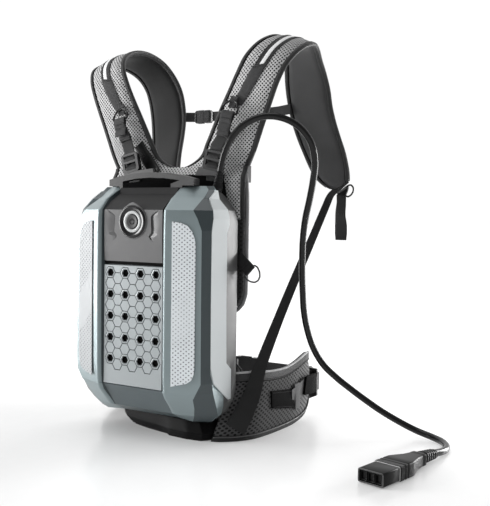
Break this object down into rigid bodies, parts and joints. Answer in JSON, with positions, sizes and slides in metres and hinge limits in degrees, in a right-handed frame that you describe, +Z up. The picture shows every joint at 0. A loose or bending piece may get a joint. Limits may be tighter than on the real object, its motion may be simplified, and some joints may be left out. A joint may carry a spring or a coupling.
{
  "type": "backpack battery pack",
  "caption": "Flat backpack battery pack on a padded shoulder harness with hip belt, chest strap, carry handle and a free power lead ending in a three-port connector.",
  "frame": {"origin": "on the floor under the base tray, on the symmetry plane of the battery and at the plane of the back frame", "axes": "+X to the wearer's right, +Y towards the wearer, -Y the outer front of the battery, +Z up"},
  "size_m": [0.7366, 0.4313, 0.7356],
  "materials": {
    "mesh_fabric": "padded foam covered in dark spacer mesh",
    "webbing": "woven polyester webbing",
    "slate_shell": "fine textured moulding, slate grey",
    "rear_grey": "fine textured moulding, mid grey",
    "silver_panel": "silver grey moulding",
    "grille_silver": "silver grey moulding",
    "bezel_dark": "satin dark grey",
    "led_white": "translucent white light guide",
    "gloss_black": "gloss black",
    "cell_holder": "cell holder",
    "board_green": "circuit board",
    "cord_black": "smooth black cable jacket",
    "cord_boot": "moulded strain relief",
    "ring_steel": "steel wire",
    "bolt_steel": "zinc plated steel",
    "black_plastic": "satin black moulding"
  },
  "bodies": {
    "pack": {"back_frame": "black_plastic", "back_pad": "mesh_fabric", "base_tray": "black_plastic", "battery_front_shell": "slate_shell", "battery_rear_shell": "rear_grey", "belt_slider_left": "black_plastic", "belt_slider_right": "black_plastic", "belt_strap_left": "webbing", "belt_strap_right": "webbing", "belt_webbing_left": "webbing", "belt_webbing_right": "webbing", "button_bezel_ring": "gloss_black", "cable_gland": "cord_boot", "carry_handle": "black_plastic", "cell_pack": "cell_holder", "chest_buckle_female": "black_plastic", "chest_buckle_male": "black_plastic", "chest_webbing_left": "webbing", "chest_webbing_right": "webbing", "control_bezel": "bezel_dark", "control_board": "board_green", "frame_bolt_1": "bolt_steel", "frame_bolt_2": "bolt_steel", "frame_bolt_3": "bolt_steel", "frame_bolt_4": "bolt_steel", "hip_belt_left": "mesh_fabric", "hip_belt_right": "mesh_fabric", "hip_buckle_female": "black_plastic", "hip_buckle_male": "black_plastic", "led_ring": "led_white", "load_lifter_ring_left": "black_plastic", "load_lifter_ring_right": "black_plastic", "load_lifter_webbing_left": "webbing", "load_lifter_webbing_right": "webbing", "lower_webbing_left": "webbing", "lower_webbing_right": "webbing", "lumbar_pad": "mesh_fabric", "plug_body": "black_plastic", "plug_boot": "cord_boot", "pod_insert_left": "grille_silver", "pod_insert_right": "grille_silver", "power_cord": "cord_black", "shoulder_strap_left": "mesh_fabric", "shoulder_strap_right": "mesh_fabric", "side_panel_left": "silver_panel", "side_panel_right": "silver_panel", "side_ring_tab": "webbing", "vent_grille": "grille_silver"},
    "power_button": {"power_button": "bezel_dark"},
    "hip_latch_upper": {"hip_buckle_latch_upper": "black_plastic"},
    "hip_latch_lower": {"hip_buckle_latch_lower": "black_plastic"},
    "chest_latch_upper": {"chest_buckle_latch_upper": "black_plastic"},
    "chest_latch_lower": {"chest_buckle_latch_lower": "black_plastic"},
    "side_d_ring": {"side_d_ring": "ring_steel"},
    "ladder_lock_left": {"ladder_lock_left": "black_plastic"},
    "ladder_lock_right": {"ladder_lock_right": "black_plastic"},
    "lower_adjuster_left": {"lower_adjuster_left": "black_plastic", "webbing_tail_left": "webbing"},
    "lower_adjuster_right": {"lower_adjuster_right": "black_plastic", "webbing_tail_right": "webbing"}
  },
  "joints": [
    {"name": "power_button_press", "type": "slide", "parent": "pack", "child": "power_button", "axis": [0, 1, 0], "range_m": [0, 0.0018], "stiffness_N_per_m": 400},
    {"name": "hip_buckle_latch_upper_squeeze", "type": "slide", "parent": "pack", "child": "hip_latch_upper", "axis": [0, 0, -1], "range_m": [0, 0.002], "stiffness_N_per_m": 800},
    {"name": "hip_buckle_latch_lower_squeeze", "type": "slide", "parent": "pack", "child": "hip_latch_lower", "axis": [0, 0, 1], "range_m": [0, 0.002], "stiffness_N_per_m": 800},
    {"name": "chest_buckle_latch_upper_squeeze", "type": "slide", "parent": "pack", "child": "chest_latch_upper", "axis": [0, 0, -1], "range_m": [0, 0.0015], "stiffness_N_per_m": 600},
    {"name": "chest_buckle_latch_lower_squeeze", "type": "slide", "parent": "pack", "child": "chest_latch_lower", "axis": [0, 0, 1], "range_m": [0, 0.0015], "stiffness_N_per_m": 600},
    {"name": "side_d_ring_swing", "type": "hinge", "parent": "pack", "child": "side_d_ring", "pos_m": [0.164, -0.008, 0.3], "axis": [0.6919, 0, 0.722], "range_deg": [-60, 60]},
    {"name": "ladder_lock_left_tilt", "type": "hinge", "parent": "pack", "child": "ladder_lock_left", "pos_m": [-0.093, -0.0215, 0.494], "axis": [0.9777, 0, 0.2101], "range_deg": [-12, 0]},
    {"name": "ladder_lock_right_tilt", "type": "hinge", "parent": "pack", "child": "ladder_lock_right", "pos_m": [0.093, -0.0215, 0.494], "axis": [0.9777, 0, -0.2101], "range_deg": [-12, 0]},
    {"name": "lower_adjuster_left_tilt", "type": "hinge", "parent": "pack", "child": "lower_adjuster_left", "pos_m": [-0.203, 0.264, 0.434], "axis": [0.988, -0.1186, 0.0988], "range_deg": [0, 20]},
    {"name": "lower_adjuster_right_tilt", "type": "hinge", "parent": "pack", "child": "lower_adjuster_right", "pos_m": [0.203, 0.264, 0.434], "axis": [0.988, 0.1186, -0.0988], "range_deg": [0, 20]}
  ]
}
